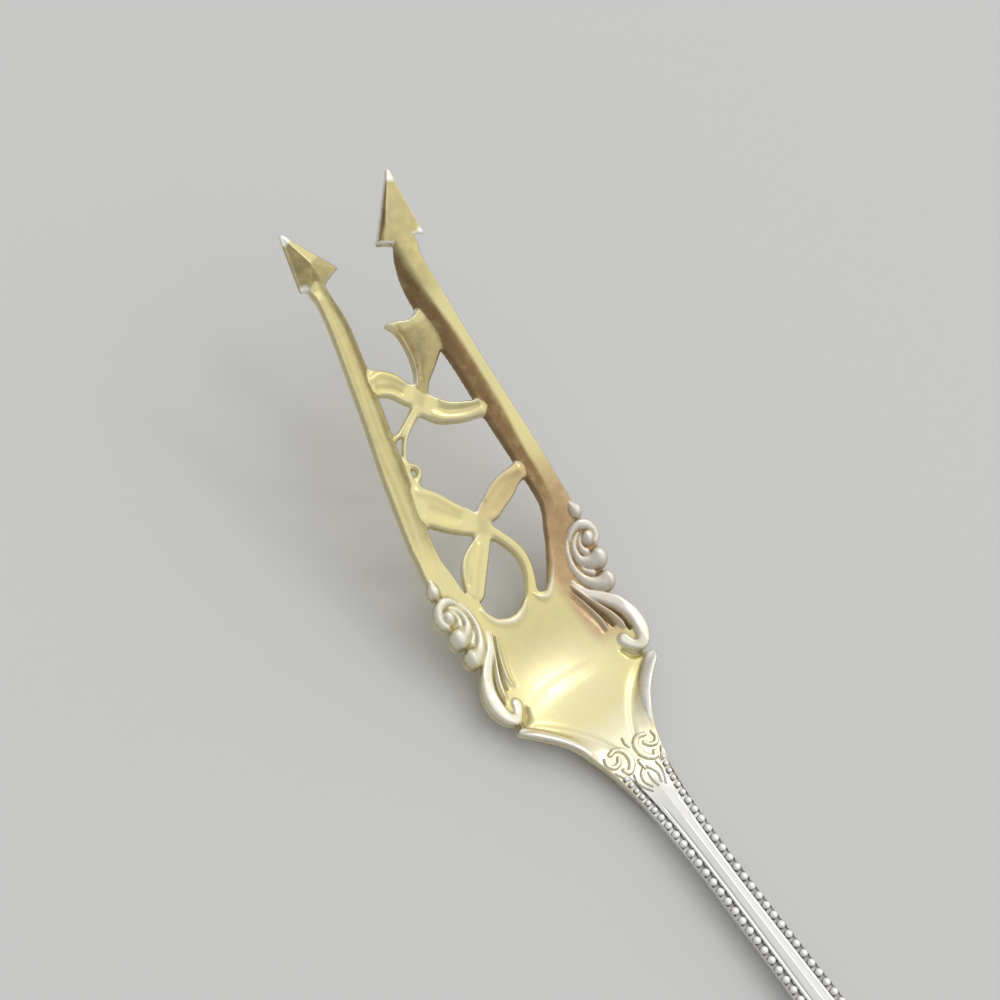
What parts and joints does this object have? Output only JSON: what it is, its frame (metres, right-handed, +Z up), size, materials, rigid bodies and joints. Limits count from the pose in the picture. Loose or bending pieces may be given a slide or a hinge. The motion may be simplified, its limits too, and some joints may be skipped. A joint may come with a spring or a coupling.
{
  "type": "pickle fork",
  "caption": "Small two-tined fork with barbed points, leafy piercing between the tines, a dished and scrolled bowl and a long beaded handle, for spearing pickles.",
  "frame": {"origin": "centre of the fork's box, on the plane that the handle's flat underside lies on", "axes": "+X from the handle's end to the points, +Y to the fork's left, +Z up out of the bowl's face"},
  "size_m": [0.15, 0.0218, 0.0204],
  "materials": {
    "silver": "polished silver, softly worn, dark in the recesses",
    "gilt": "pale satin gilding on silver, worn white at the edges and tips"
  },
  "bodies": {
    "root": {"handle_shaft": "silver", "handle_terminal": "silver", "neck": "silver", "left_bead_row": "silver", "right_bead_row": "silver", "left_neck_scroll": "silver", "right_neck_scroll": "silver", "neck_bead": "silver", "bowl": "gilt", "left_heel_rim": "gilt", "right_heel_rim": "gilt", "left_c_scroll": "gilt", "right_c_scroll": "gilt", "left_lower_lobe": "gilt", "right_lower_lobe": "gilt", "left_upper_lobe": "gilt", "right_upper_lobe": "gilt", "left_volute": "gilt", "right_volute": "gilt", "left_knob": "gilt", "right_knob": "gilt", "left_tine": "gilt", "right_tine": "gilt", "left_barbed_point": "gilt", "right_barbed_point": "gilt", "lower_sprig_hub": "gilt", "lower_left_leaf": "gilt", "lower_right_leaf": "gilt", "bowl_leaf": "gilt", "curved_stem": "gilt", "upper_sprig_hub": "gilt", "upper_left_leaf": "gilt", "upper_right_leaf": "gilt", "bud_leaf": "gilt", "long_stem": "gilt", "short_stem": "gilt", "side_bud": "gilt"}
  },
  "joints": []
}
